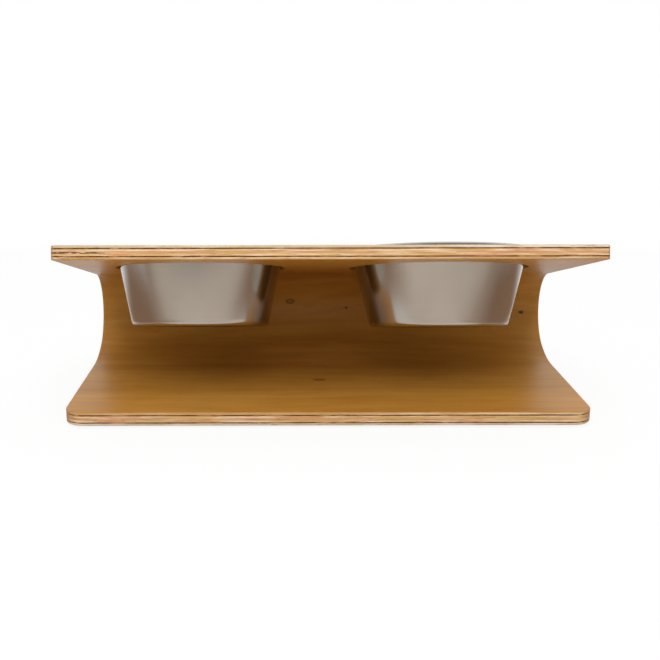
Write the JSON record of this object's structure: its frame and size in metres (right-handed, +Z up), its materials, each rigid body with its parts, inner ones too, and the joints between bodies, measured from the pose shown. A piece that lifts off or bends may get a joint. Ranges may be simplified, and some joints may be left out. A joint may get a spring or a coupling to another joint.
{
  "type": "elevated pet feeder",
  "caption": "Bent plywood stand with a tilted deck; tapered steel bowls with rolled rims hang in round holes and lift out.",
  "frame": {"origin": "on the floor, under the middle of the overall box", "axes": "+X along the width, -Y out of the stand's open side, +Z up"},
  "size_m": [0.44, 0.2176, 0.1546],
  "materials": {
    "face_veneer": "satin lacquered veneer",
    "cross_veneer": "lacquered cross-grain veneer",
    "core_veneer": "lacquered core veneer",
    "bowl_steel": "satin stainless steel",
    "foot_rubber": "matt moulded rubber"
  },
  "bodies": {
    "stand": {"inner_face_ply": "face_veneer", "inner_cross_ply": "cross_veneer", "core_ply_inner": "core_veneer", "core_ply_middle": "core_veneer", "core_ply_outer": "core_veneer", "outer_cross_ply": "cross_veneer", "outer_face_ply": "face_veneer", "foot_front_left": "foot_rubber", "foot_front_right": "foot_rubber", "foot_rear_left": "foot_rubber", "foot_rear_right": "foot_rubber"},
    "left_bowl": {"left_bowl": "bowl_steel"},
    "right_bowl": {"right_bowl": "bowl_steel"}
  },
  "joints": [
    {"name": "left_bowl_lift", "type": "slide", "parent": "stand", "child": "left_bowl", "axis": [0, 0.2588, 0.9659], "range_m": [0, 0.12]},
    {"name": "right_bowl_lift", "type": "slide", "parent": "stand", "child": "right_bowl", "axis": [0, 0.2588, 0.9659], "range_m": [0, 0.12]}
  ]
}
